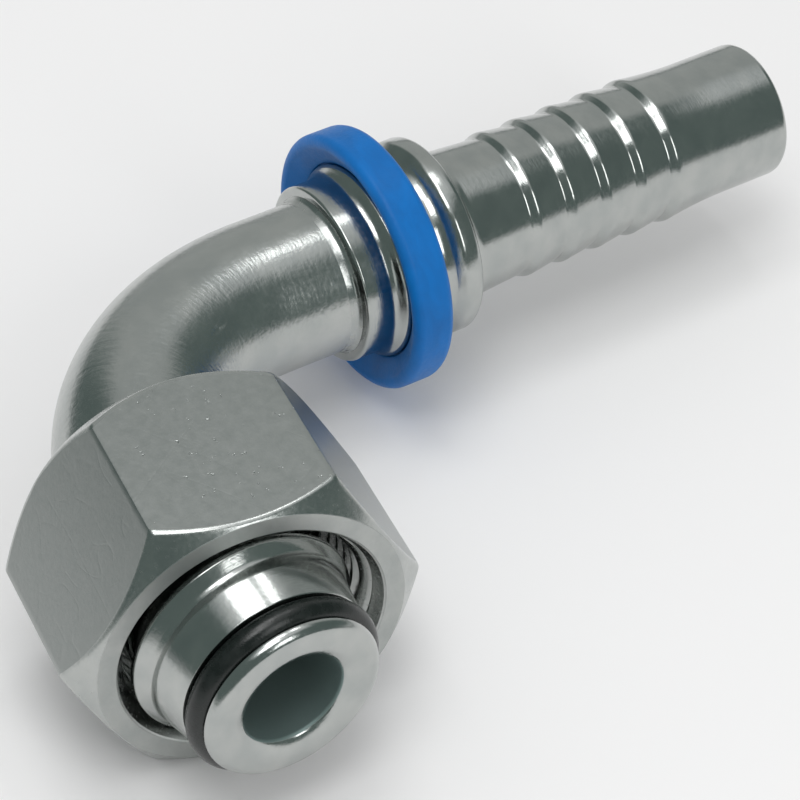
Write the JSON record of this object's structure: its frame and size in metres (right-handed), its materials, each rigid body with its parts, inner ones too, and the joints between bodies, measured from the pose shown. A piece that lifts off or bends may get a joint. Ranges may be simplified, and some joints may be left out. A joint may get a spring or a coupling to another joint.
{
  "type": "hydraulic hose end",
  "caption": "Swept 90 degree hydraulic hose end: bent steel tube with a cone, O-ring and loose hexagon nut at one end and a barbed hose nipple with a blue ring at the other.",
  "frame": {"origin": "centre of the cone head's front face", "axes": "-Y the way the head points, +X along the hose nipple towards its free end, +Z square to the plane of the bend"},
  "size_m": [0.0892, 0.0537, 0.027],
  "materials": {
    "zinc_plated_tube": "zinc plated, fine scratches round the tube",
    "zinc_plated_steel": "zinc plated, turned",
    "zinc_plated_nut": "zinc plated, satin, with small nicks",
    "plated_braze": "zinc plated over the braze",
    "o_ring_rubber": "black, slightly oily",
    "blue_plastic": "satin blue"
  },
  "bodies": {
    "elbow": {"elbow_tube": "zinc_plated_tube", "cone_head": "zinc_plated_steel", "head_braze": "plated_braze", "cone_o_ring": "o_ring_rubber", "hose_nipple": "zinc_plated_steel", "nipple_braze": "plated_braze"},
    "nut": {"swivel_nut": "zinc_plated_nut"},
    "ring": {"stop_ring": "blue_plastic"}
  },
  "joints": [
    {"name": "nut_swivel", "type": "hinge", "parent": "elbow", "child": "nut", "pos_m": [0.00042, 0.00751, 0], "axis": [0.1262, 0.992, 0], "continuous": true},
    {"name": "ring_turn", "type": "hinge", "parent": "elbow", "child": "ring", "pos_m": [0.032, 0.04175, 0], "axis": [1, 0, 0], "continuous": true}
  ]
}
